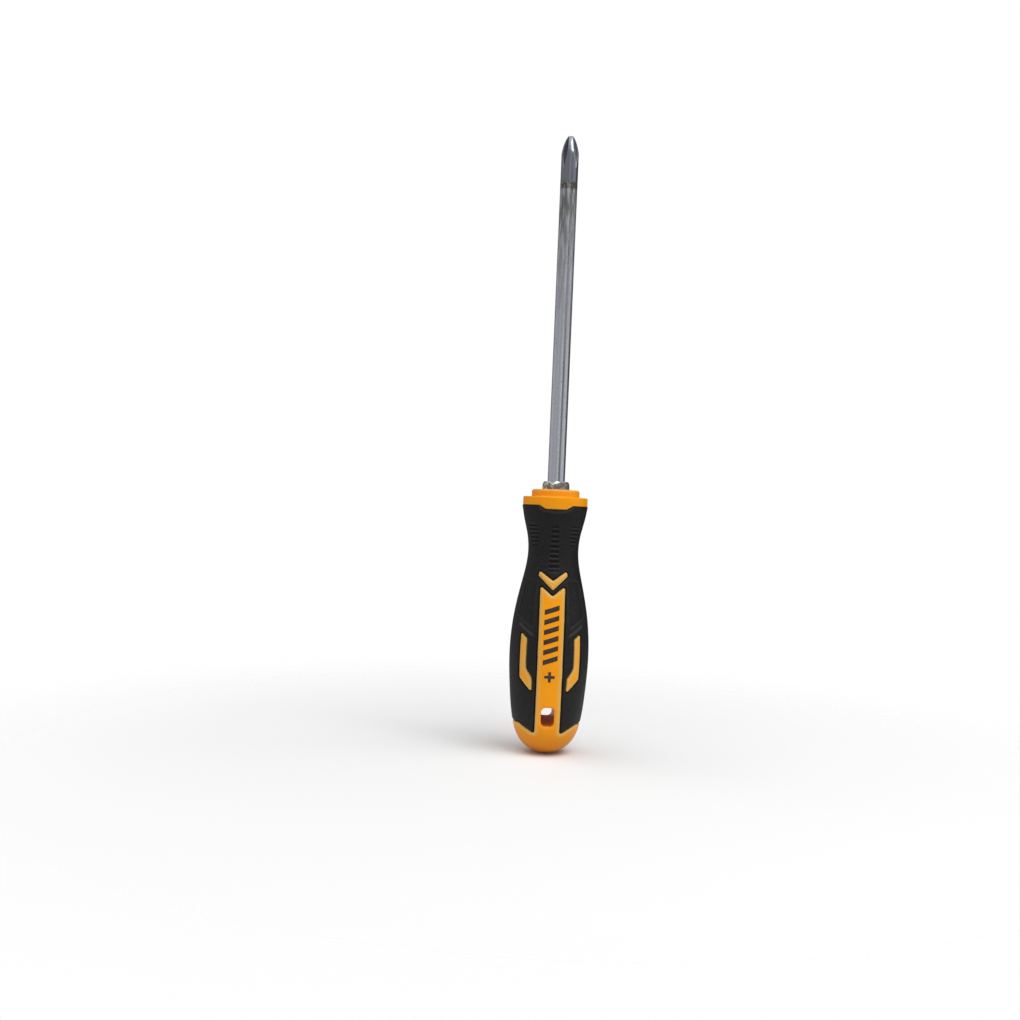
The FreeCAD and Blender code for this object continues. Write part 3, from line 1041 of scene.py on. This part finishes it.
def ground_chrome_plate(look):
    """Chrome plate over a ground bar: a mirror drawn out lengthwise.

    Its end is unplated, duller and bluish. Dried oil rings the place where the plate stops, with brown
    streaks below it, and small pits lie all along.
    """
    material, tree, where = new_material("ground_chrome_plate")
    depth = add(tree, NOTE, attribute_name="depth_mm").outputs["Fac"]
    height = add(tree, SPLIT, {0: where}).outputs["Z"]
    away = add(tree, MATH, {0: TIP_Z * MM, 1: height}, operation="SUBTRACT").outputs[0]
    # Grinding lines 0.5 mm apart and 20 mm long, specks of oil and pits of 0.5 mm, and streaks of 1 by 10 mm
    lines = patches(tree, where, (0.5, 0.5, 20), [(0.3, 0.0), (0.7, 1.0)])
    specks = patches(tree, where, 0.5, [(0.38, 0.25), (0.6, 1.0)], 4.0)
    streaks = patches(tree, where, (1.0, 1.0, 10), [(0.36, 0.0), (0.58, 1.0)], 3.0)
    pits = patches(tree, where, 0.5, [(0.635, 0.0), (0.69, 1.0)])
    end = look.satin_length
    plated = add(tree, RANGE, {"Value": away, "From Min": end - 0.3 * MM, "From Max": end + 0.3 * MM})
    # The ring of dried oil is strongest 1.2 mm below the edge of the plate, and its edges are ragged
    wander = add(tree, MATH, {0: specks, 1: 1.0 * MM, 2: away}, operation="MULTIPLY_ADD").outputs[0]
    off = add(tree, MATH, {0: wander, 1: end + 1.9 * MM}, operation="SUBTRACT").outputs[0]
    off = add(tree, MATH, {0: off}, operation="ABSOLUTE").outputs[0]
    ring = add(tree, RANGE, {"Value": off, "From Min": 2.2 * MM, "From Max": 1.0 * MM}).outputs[0]
    ring = add(tree, MATH, {0: ring, 1: specks}, operation="MULTIPLY").outputs[0]
    low = add(tree, RANGE, {"Value": away, "From Min": look.stain_length, "From Max": end}).outputs[0]
    low = add(tree, MATH, {0: low, 1: plated.outputs[0]}, operation="MULTIPLY").outputs[0]
    low = add(tree, MATH, {0: low, 1: streaks}, operation="MULTIPLY").outputs[0]
    oil = add(tree, MATH, {0: low, 1: 0.9, 2: ring}, operation="MULTIPLY_ADD", use_clamp=True).outputs[0]
    pitted = add(tree, MATH, {0: pits, 1: 0.75}, operation="MULTIPLY").outputs[0]
    oil = add(tree, MATH, {0: oil, 1: pitted}, operation="MAXIMUM").outputs[0]
    oil = add(tree, MATH, {0: lines, 1: 0.12, 2: oil}, operation="MULTIPLY_ADD", use_clamp=True).outputs[0]
    # The flutes are darkened as painted shade, the more so the deeper they are
    root = add(tree, RANGE, {"Value": depth, "From Min": 0.04, "From Max": 0.5, "To Max": 0.78})
    black = (*linear("#2A2A2D"), 1)
    steels = {0: plated.outputs[0], 6: (*look.satin, 1), 7: (*look.plate, 1)}
    metal = add(tree, MIX, steels, data_type="RGBA")
    metal = add(tree, MIX, {0: root.outputs[0], 6: metal.outputs[2], 7: black}, data_type="RGBA")
    base = add(tree, MIX, {0: oil, 6: metal.outputs[2], 7: (*look.stain, 1)}, data_type="RGBA")
    dull = {"Value": plated.outputs[0], "To Min": 0.18, "To Max": look.roughness}
    dull = add(tree, RANGE, dull).outputs[0]
    dull = add(tree, MATH, {0: lines, 1: 0.05, 2: dull}, operation="MULTIPLY_ADD").outputs[0]
    dull = add(tree, MATH, {0: oil, 1: 0.35, 2: dull}, operation="MULTIPLY_ADD").outputs[0]
    bare = add(tree, MATH, {0: oil, 1: -0.85, 2: 1.0}, operation="MULTIPLY_ADD").outputs[0]
    height = add(tree, MATH, {0: pits, 1: -3.0, 2: lines}, operation="MULTIPLY_ADD").outputs[0]
    relief = add(tree, "ShaderNodeBump", {"Height": height, "Distance": 0.008 * MM, "Strength": 0.5})
    skin = add(
        tree,
        SKIN,
        {
            "Base Color": base.outputs[2],
            "Metallic": bare,
            "Roughness": dull,
            "Normal": relief.outputs[0],
        },
    )
    add(tree, "ShaderNodeOutputMaterial", {0: skin.outputs[0]})
    return material


def turned_zinc_steel(look):
    """Turned steel with thin bright zinc: fine turning rings, grey with small dark blotches of old oil."""
    material, tree, where = new_material("turned_zinc_steel")
    # Turning rings 0.25 mm apart, drawn as bands up the tool, and blotches of 2 mm
    rings = patches(tree, where, (6, 6, 0.25), [(0.3, 0.0), (0.7, 1.0)])
    blotches = patches(tree, where, 2.0, [(0.45, 0.0), (0.55, 1.0)], 3.0)
    dark = tuple(c * 0.35 for c in look.steel)
    base = add(tree, MIX, {0: blotches, 6: (*look.steel, 1), 7: (*dark, 1)}, data_type="RGBA")
    dull = add(tree, MATH, {0: blotches, 1: 0.25, 2: look.roughness}, operation="MULTIPLY_ADD").outputs[0]
    relief = add(tree, "ShaderNodeBump", {"Height": rings, "Distance": 0.02 * MM, "Strength": 0.5})
    skin = add(
        tree,
        SKIN,
        {"Base Color": base.outputs[2], "Metallic": 1.0, "Roughness": dull, "Normal": relief.outputs[0]},
    )
    add(tree, "ShaderNodeOutputMaterial", {0: skin.outputs[0]})
    return material


def moulded_polypropylene(name, base_colour, roughness, edge_marks_and_shading):
    """Injection-moulded polypropylene with a satin, faintly grained face.

    Where the soft rubber meets it, a thin dark line of grime and painted shadow lies in the seam, and from
    there a painted pale sheen lies on the plastic for about 2 mm.
    """
    material, tree, where = new_material(name)
    # Broad clouding of 14 mm from handling, scuffs of 0.5 by 4 mm, and a mould grain of 0.35 mm
    clouds = patches(tree, where, 14, [(0.3, 0.94), (0.7, 1.0)], 3.0)
    scuffs = patches(tree, where, (0.5, 0.5, 4), [(0.55, 0.0), (0.75, 1.0)], 3.0)
    grain = patches(tree, where, 0.35, [(0.2, 0.0), (0.8, 1.0)])
    clean = add(
        tree, MIX, {0: 1.0, 6: (*base_colour, 1), 7: clouds}, data_type="RGBA", blend_type="MULTIPLY"
    ).outputs[2]
    if edge_marks_and_shading:
        # The butt's last 16 mm is darkened a little towards its end, as painted shade on its underside
        height = add(tree, SPLIT, {0: where}).outputs["Z"]
        butt_shade = add(tree, RANGE, {"Value": height, "From Min": 16 * MM, "From Max": 0.0, "To Max": 0.7})
        butt_shade = butt_shade.outputs[0]
        brown = (*linear("#A45A0A"), 1)
        clean = add(tree, MIX, {0: butt_shade, 6: clean, 7: brown}, data_type="RGBA").outputs[2]
        edge = add(tree, NOTE, attribute_name="edge_mm").outputs["Fac"]
        wobble = add(tree, MATH, {0: scuffs, 1: 0.25, 2: edge}, operation="MULTIPLY_ADD").outputs[0]
        # A painted pale sheen on the bevels near the edges
        edge_sheen = {"Value": wobble, "From Min": 2.3, "From Max": 0.7, "To Max": 0.85}
        edge_sheen = add(tree, RANGE, edge_sheen).outputs[0]
        # A thin dark line of grime and painted shadow in the seam
        seam_grime_and_shade = add(tree, RANGE, {"Value": wobble, "From Min": 0.26, "From Max": 0.08}).outputs[0]
        sheen_colour = (*linear("#DAB05C"), 1)
        clean = add(tree, MIX, {0: edge_sheen, 6: clean, 7: sheen_colour}, data_type="RGBA").outputs[2]
        seam_grime_and_shade_colour = (*linear("#5A4322"), 1)
        clean = add(tree, MIX, {0: seam_grime_and_shade, 6: clean, 7: seam_grime_and_shade_colour}, data_type="RGBA").outputs[2]
    dull = add(tree, MATH, {0: scuffs, 1: 0.12, 2: roughness}, operation="MULTIPLY_ADD").outputs[0]
    relief = add(tree, "ShaderNodeBump", {"Height": grain, "Distance": 0.02 * MM, "Strength": 0.35})
    skin = add(
        tree,
        SKIN,
        {
            "Base Color": clean,
            "Roughness": dull,
            "IOR": 1.49,
            "Specular IOR Level": 0.22,
            "Normal": relief.outputs[0],
        },
    )
    add(tree, "ShaderNodeOutputMaterial", {0: skin.outputs[0]})
    return material


def spark_grained_rubber(look):
    """Thermoplastic rubber moulded against a spark-eroded tool.

    It is soft black, with a fine sandy grain that turns its gloss into a dull sheen, and pale skin dust lies
    in patches of the grain.
    """
    material, tree, where = new_material("spark_grained_rubber")
    # The real grain is about 0.1 mm, and it is drawn at 0.4 mm so that it shows. Dust lies in patches of 9 mm
    grain = patches(tree, where, 0.4, [(0.25, 0.0), (0.75, 1.0)], 3.0)
    specks = patches(tree, where, 0.5, [(0.5, 0.0), (0.72, 1.0)], 4.0)
    handled = patches(tree, where, 9, [(0.35, 0.15), (0.7, 1.0)], 3.0)
    dust = add(tree, MATH, {0: specks, 1: handled}, operation="MULTIPLY").outputs[0]
    rubbed = add(tree, NOTE, attribute_name="rubbed").outputs["Fac"]
    # Below 0 the note darkens the rubber towards black as painted shade in pockets, grooves and at the ribs'
    # feet; above 0 it adds a pale tone of wear
    shade = add(tree, RANGE, {"Value": rubbed, "From Max": -1.0, "To Max": 0.75}).outputs[0]
    rubbed = add(tree, RANGE, {"Value": rubbed, "To Max": 0.32}).outputs[0]
    dust = add(tree, MATH, {0: dust, 1: 0.3, 2: rubbed}, operation="MULTIPLY_ADD", use_clamp=True).outputs[0]
    base = add(tree, MIX, {0: dust, 6: (*look.rubber, 1), 7: (*look.dust, 1)}, data_type="RGBA")
    base = add(tree, MIX, {0: shade, 6: base.outputs[2], 7: (0, 0, 0, 1)}, data_type="RGBA")
    dull = add(tree, MATH, {0: handled, 1: 0.1, 2: look.roughness}, operation="MULTIPLY_ADD").outputs[0]
    relief = add(tree, "ShaderNodeBump", {"Height": grain, "Distance": 0.05 * MM, "Strength": 0.5})
    skin = add(
        tree,
        SKIN,
        {
            "Base Color": base.outputs[2],
            "Roughness": dull,
            "IOR": 1.5,
            "Specular IOR Level": 0.24,
            "Normal": relief.outputs[0],
        },
    )
    add(tree, "ShaderNodeOutputMaterial", {0: skin.outputs[0]})
    return material


def pad_printed_ink(look, plastic):
    """Pad-printed ink: a thin dark film that lets the plastic through in small specks."""
    material, tree, where = new_material("pad_printed_ink")
    # Specks of 0.35 mm
    specks = patches(tree, where, 0.35, [(0.62, 0.0), (0.72, 1.0)], 3.0)
    thin = add(tree, MATH, {0: specks, 1: 0.35}, operation="MULTIPLY").outputs[0]
    base = add(tree, MIX, {0: thin, 6: (*look.ink, 1), 7: (*plastic, 1)}, data_type="RGBA")
    skin = add(tree, SKIN, {"Base Color": base.outputs[2], "Roughness": 0.42, "IOR": 1.5})
    add(tree, "ShaderNodeOutputMaterial", {0: skin.outputs[0]})
    return material


def pale_sheet(radius):
    """A matt pale sheet that melts into the white room towards its rim."""
    material, tree, where = new_material("pale_sheet")
    away = add(tree, VECTOR, {0: where}, operation="LENGTH").outputs["Value"]
    far = add(
        tree,
        RANGE,
        {"Value": away, "From Min": radius * 0.15, "From Max": radius * 0.95},
        interpolation_type="SMOOTHSTEP",
    ).outputs[0]
    sheet = add(tree, "ShaderNodeBsdfDiffuse", {"Color": (0.9, 0.9, 0.9, 1)})
    clear = add(tree, "ShaderNodeBsdfTransparent")
    both = add(tree, "ShaderNodeMixShader", {0: far, 1: sheet.outputs[0], 2: clear.outputs[0]})
    add(tree, "ShaderNodeOutputMaterial", {0: both.outputs[0]})
    return material


# How bright the room is round the tool, by the share of a full turn from behind it, past the left, to behind
# again. It stands for tall softboxes with dark gaps between them, so that the plated bar shows bands
ROOM = [
    (0.0, 0.12),
    (0.12, 0.25),
    (0.19, 0.56),
    (0.3, 0.46),
    (0.37, 0.48),
    (0.415, 0.52),
    (0.436, 0.34),
    (0.46, 0.5),
    (0.5, 0.52),
    (0.532, 0.72),
    (0.55, 0.55),
    (0.567, 0.22),
    (0.612, 0.17),
    (0.64, 0.5),
    (0.714, 0.72),
    (0.77, 0.55),
    (0.8, 0.08),
    (0.917, 0.05),
    (1.0, 0.12),
]


def light_room(strength, overhead):
    """The room: white to look at, and a ring of softboxes for light and reflections."""
    world = bpy.data.worlds.new("studio")
    world.use_nodes = True
    tree = world.node_tree
    tree.nodes.clear()
    where = add(tree, "ShaderNodeTexCoord").outputs["Generated"]
    x, y, z = add(tree, SPLIT, {0: where}).outputs
    front = add(tree, MATH, {0: y, 1: -1.0}, operation="MULTIPLY").outputs[0]
    turn = add(tree, MATH, {0: x, 1: front}, operation="ARCTAN2").outputs[0]
    part = add(tree, RANGE, {"Value": turn, "From Min": -math.pi, "From Max": math.pi}).outputs[0]
    ramp = add(tree, "ShaderNodeValToRGB", {0: part})
    set_stops(ramp, ROOM)
    seen = add(tree, "ShaderNodeLightPath").outputs["Is Camera Ray"]
    above = add(
        tree,
        RANGE,
        {"Value": z, "From Min": 0.55, "To Min": strength, "To Max": strength + overhead},
        interpolation_type="SMOOTHSTEP",
    ).outputs[0]
    glow = add(tree, "ShaderNodeBackground", {"Color": ramp.outputs[0], "Strength": above})
    white = add(tree, "ShaderNodeBackground", {"Color": (1, 1, 1, 1), "Strength": 1.0})
    both = add(tree, "ShaderNodeMixShader", {0: seen, 1: glow.outputs[0], 2: white.outputs[0]})
    add(tree, "ShaderNodeOutputWorld", {0: both.outputs[0]})
    bpy.context.scene.world = world


def lamp(name, place, aim, power, width):
    """A square area lamp that faces a point, and that the camera doesn't see. Places are in millimetres."""
    data = bpy.data.lights.new(name, "AREA")
    data.energy, data.size = power, width * MM
    made = bpy.data.objects.new(name, data)
    bpy.context.scene.collection.objects.link(made)
    made.visible_camera = False
    made.location = Vector(place) * MM
    made.rotation_euler = (Vector(aim) - Vector(place)).to_track_quat("-Z", "Y").to_euler()


# Operators


class SCREWDRIVER_OT_blade(bpy.types.Operator):
    """Builds the plated bar with its cross tip"""

    bl_idname = "screwdriver.blade"
    bl_label = "Blade"

    def execute(self, context):
        look = context.scene.screwdriver.blade
        finish_piece(blade_piece(look), ground_chrome_plate(look), "chrome_bar", "blade")
        return {"FINISHED"}


class SCREWDRIVER_OT_bolster(bpy.types.Operator):
    """Builds the hexagon ring at the foot of the bar"""

    bl_idname = "screwdriver.bolster"
    bl_label = "Bolster"

    def execute(self, context):
        look = context.scene.screwdriver.bolster
        finish_piece(bolster_piece(look), turned_zinc_steel(look), "bolster_steel", "bolster")
        return {"FINISHED"}


class SCREWDRIVER_OT_shell(bpy.types.Operator):
    """Builds the hard plastic handle, and gives the core inside it its finish"""

    bl_idname = "screwdriver.shell"
    bl_label = "Hard shell"

    def execute(self, context):
        look = context.scene.screwdriver.shell
        plastic = moulded_polypropylene("satin_polypropylene", look.plastic, look.roughness, True)
        finish_piece(shell_piece(look), plastic, "yellow_plastic", "handle_shell")
        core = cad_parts["inner_core"]
        dark = moulded_polypropylene("core_polypropylene", look.core, look.roughness, False)
        for place in core.material_slots:
            place.material = dark
        return {"FINISHED"}


class SCREWDRIVER_OT_grip(bpy.types.Operator):
    """Builds the soft rubber skin"""

    bl_idname = "screwdriver.grip"
    bl_label = "Rubber grip"

    def execute(self, context):
        look = context.scene.screwdriver.grip
        finish_piece(grip_piece(look), spark_grained_rubber(look), "black_rubber", "rubber_grip")
        return {"FINISHED"}


class SCREWDRIVER_OT_ribs(bpy.types.Operator):
    """Lays the rows of ribs in the rubber's neck, front and back"""

    bl_idname = "screwdriver.ribs"
    bl_label = "Neck ribs"

    def execute(self, context):
        look = context.scene.screwdriver.ribs
        skin = bpy.data.objects["grip_skin"]
        tree = bar_row_tree()
        settings = {"Surface": skin, "Material": skin.data.materials[0], "Slant": 0.0, "Roundness": 1.0}
        settings |= {"Bar height": look.height, "Rise": look.rise, "Depth": RIB_DEPTH * MM}
        rows = []
        for face in (0.0, math.pi):
            for turn, top, bottom, count, first, last in RIB_ROWS:
                settings |= {"Turn": face + math.radians(turn), "Count": count}
                settings |= {"First height": top * MM, "Last height": bottom * MM}
                settings |= {"First width": first * MM, "Last width": last * MM}
                rows.append(bar_row_mesh(tree, settings))
        finish_piece(row_piece("neck_ribs", rows), settings["Material"], "black_rubber")
        return {"FINISHED"}


class SCREWDRIVER_OT_marks(bpy.types.Operator):
    """Prints a plain row of slanted bars and a cross on the front strip"""

    bl_idname = "screwdriver.marks"
    bl_label = "Printed mark"

    def execute(self, context):
        look, shell = context.scene.screwdriver.marks, context.scene.screwdriver.shell
        tree = bar_row_tree()
        strip, ink = bpy.data.objects["hard_shell"], pad_printed_ink(look, shell.plastic)
        settings = {"Surface": strip, "Material": ink, "Turn": 0.0, "Rise": look.thickness}
        settings |= {"Roundness": 0.0, "Depth": INK_DEPTH * MM}
        long, thick = CROSS_SIZE[0] * MM, CROSS_SIZE[1] * MM
        rows = []
        for count, (top, bottom), width, height, slant in [
            (look.bars, MARK_SPAN, look.width, look.height, MARK_SLANT),
            (1, (CROSS_Z, CROSS_Z), long, thick, 0.0),
            (1, (CROSS_Z, CROSS_Z), thick, long, 0.0),
        ]:
            settings |= {"Count": count, "First height": top * MM, "Last height": bottom * MM}
            settings |= {"First width": width, "Last width": width, "Bar height": height, "Slant": slant}
            rows.append(bar_row_mesh(tree, settings))
        finish_piece(row_piece("strip_mark", rows), ink, "core_plastic")
        return {"FINISHED"}


class SCREWDRIVER_OT_stage(bpy.types.Operator):
    """Sets up the floor, the light and the camera"""

    bl_idname = "screwdriver.stage"
    bl_label = "Stage"

    def execute(self, context):
        look, scene = context.scene.screwdriver.stage, context.scene
        mesh = bpy.data.meshes.new("floor")
        built = bmesh.new()
        bmesh.ops.create_circle(built, cap_ends=True, segments=96, radius=look.floor)
        built.to_mesh(mesh)
        built.free()
        floor = bpy.data.objects.new("floor", mesh)
        scene.collection.objects.link(floor)
        mesh.materials.append(pale_sheet(look.floor))
        light_room(look.ambient, look.overhead)
        lamp("key", (300, -360, 720), (0, 0, 90), look.key, 420)
        scene.view_settings.view_transform = "Standard"
        # Near the collar's height, a little to the left of the tool, and tipped to lean the tool right
        data = bpy.data.cameras.new("camera")
        data.lens, data.sensor_width = LENS, 36.0
        data.clip_start, data.clip_end = 0.01, 20.0
        scene.camera = bpy.data.objects.new("camera", data)
        scene.collection.objects.link(scene.camera)
        scene.camera.matrix_world = (
            Matrix.Translation(Vector((CAMERA_ACROSS * MM, -look.distance, CAMERA_UP * MM)))
            @ Matrix.Rotation(math.radians(90), 4, "X")
            @ Matrix.Rotation(math.radians(CAMERA_ROLL), 4, "Z")
        )
        return {"FINISHED"}


class ScrewdriverLook(bpy.types.PropertyGroup):
    """Every setting of the screwdriver"""

    blade: PointerProperty(type=ScrewdriverBladeLook, name="Blade", description="The bar")
    bolster: PointerProperty(type=ScrewdriverBolsterLook, name="Bolster", description="The hexagon ring")
    shell: PointerProperty(type=ScrewdriverShellLook, name="Hard shell", description="The hard plastic")
    grip: PointerProperty(type=ScrewdriverGripLook, name="Rubber grip", description="The soft rubber")
    ribs: PointerProperty(type=ScrewdriverRibLook, name="Neck ribs", description="The ribs on the neck")
    marks: PointerProperty(type=ScrewdriverMarkLook, name="Printed mark", description="The printed bars")
    stage: PointerProperty(type=ScrewdriverStageLook, name="Stage", description="Floor, light and camera")


STEPS = [
    (SCREWDRIVER_OT_blade, "blade"),
    (SCREWDRIVER_OT_bolster, "bolster"),
    (SCREWDRIVER_OT_shell, "shell"),
    (SCREWDRIVER_OT_grip, "grip"),
    (SCREWDRIVER_OT_ribs, "ribs"),
    (SCREWDRIVER_OT_marks, "marks"),
    (SCREWDRIVER_OT_stage, "stage"),
]


class SCREWDRIVER_PT_sidebar(bpy.types.Panel):
    """Lists each piece's settings and the button that builds it"""

    bl_idname = "SCREWDRIVER_PT_sidebar"
    bl_label = "Screwdriver"
    bl_space_type = "VIEW_3D"
    bl_region_type = "UI"
    bl_category = "Screwdriver"

    def draw(self, context):
        for step, group in STEPS:
            box = self.layout.box()
            look = getattr(context.scene.screwdriver, group)
            for setting in look.bl_rna.properties:
                if setting.identifier not in ("rna_type", "name"):
                    box.prop(look, setting.identifier)
            box.operator(step.bl_idname)


CLASSES = [
    ScrewdriverBladeLook,
    ScrewdriverBolsterLook,
    ScrewdriverShellLook,
    ScrewdriverGripLook,
    ScrewdriverRibLook,
    ScrewdriverMarkLook,
    ScrewdriverStageLook,
    ScrewdriverLook,
    *(step for step, _ in STEPS),
    SCREWDRIVER_PT_sidebar,
]


def register():
    for cls in CLASSES:
        bpy.utils.register_class(cls)
    bpy.types.Scene.screwdriver = PointerProperty(type=ScrewdriverLook)


def unregister():
    del bpy.types.Scene.screwdriver
    for cls in reversed(CLASSES):
        bpy.utils.unregister_class(cls)


def main():
    register()
    for _, group in STEPS:
        getattr(bpy.ops.screwdriver, group)()


if __name__ == "__main__":
    main()
